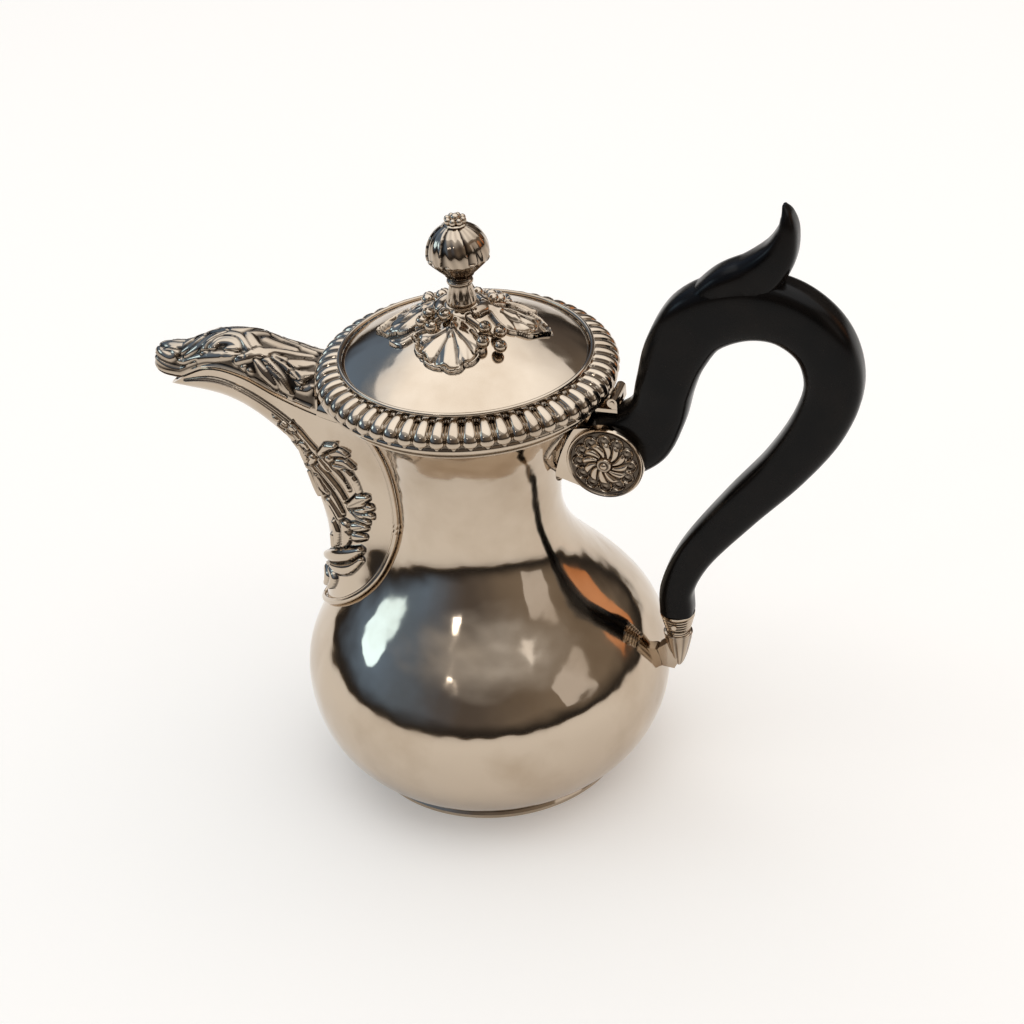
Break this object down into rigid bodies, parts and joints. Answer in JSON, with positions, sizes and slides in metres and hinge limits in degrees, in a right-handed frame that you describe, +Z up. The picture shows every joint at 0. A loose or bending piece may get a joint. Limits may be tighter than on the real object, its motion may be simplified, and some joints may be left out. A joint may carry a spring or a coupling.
{
  "type": "coffee pot",
  "caption": "Lidded silver coffee jug with a round low belly, narrow neck, covered spout, hinged gadrooned lid with bud finial and S-scroll black wooden handle.",
  "frame": {"origin": "centre of the base's lower face, on the axis of the body", "axes": "+Z up along the axis of the body, +X from the axis towards the handle, the spout towards -X, +Y to the left of someone who looks from the handle towards the spout"},
  "size_m": [0.2189, 0.116, 0.2001],
  "materials": {
    "raised_silver": "hand polished sterling silver with fine scratches and soft unevenness",
    "cast_silver": "cast and chased silver, bright on the crests and dark in the recesses",
    "ebonised_wood": "black stained hardwood, waxed to a soft sheen"
  },
  "bodies": {
    "jug": {"body_shell": "raised_silver", "foot_base": "raised_silver", "mouth_flange": "cast_silver", "spout_shell": "raised_silver", "spout_cover": "cast_silver", "spout_border_wires": "cast_silver", "spout_seat_wire": "cast_silver", "spout_foliage": "cast_silver", "bracket_plate": "raised_silver", "handle_bracket": "raised_silver", "rosette_near": "cast_silver", "rosette_far": "cast_silver", "scroll_rivet": "cast_silver", "handle_grip": "ebonised_wood", "lower_socket": "cast_silver", "socket_drop": "cast_silver", "socket_pin": "cast_silver", "hinge_leaf": "cast_silver", "hinge_pin": "cast_silver"},
    "lid": {"lid_lug": "cast_silver", "lid_dome": "raised_silver", "lid_bezel": "raised_silver", "gadroon_border": "cast_silver", "dome_wire": "cast_silver", "lid_leaves": "cast_silver", "lid_berries": "cast_silver", "finial_stem": "cast_silver", "finial_sepals": "cast_silver", "finial_bud": "cast_silver", "finial_crown": "cast_silver", "finial_nut": "cast_silver"}
  },
  "joints": [
    {"name": "lid_hinge", "type": "hinge", "parent": "jug", "child": "lid", "pos_m": [0.0456, 0, 0.13517], "axis": [0, 1, 0], "range_deg": [0, 62]}
  ]
}
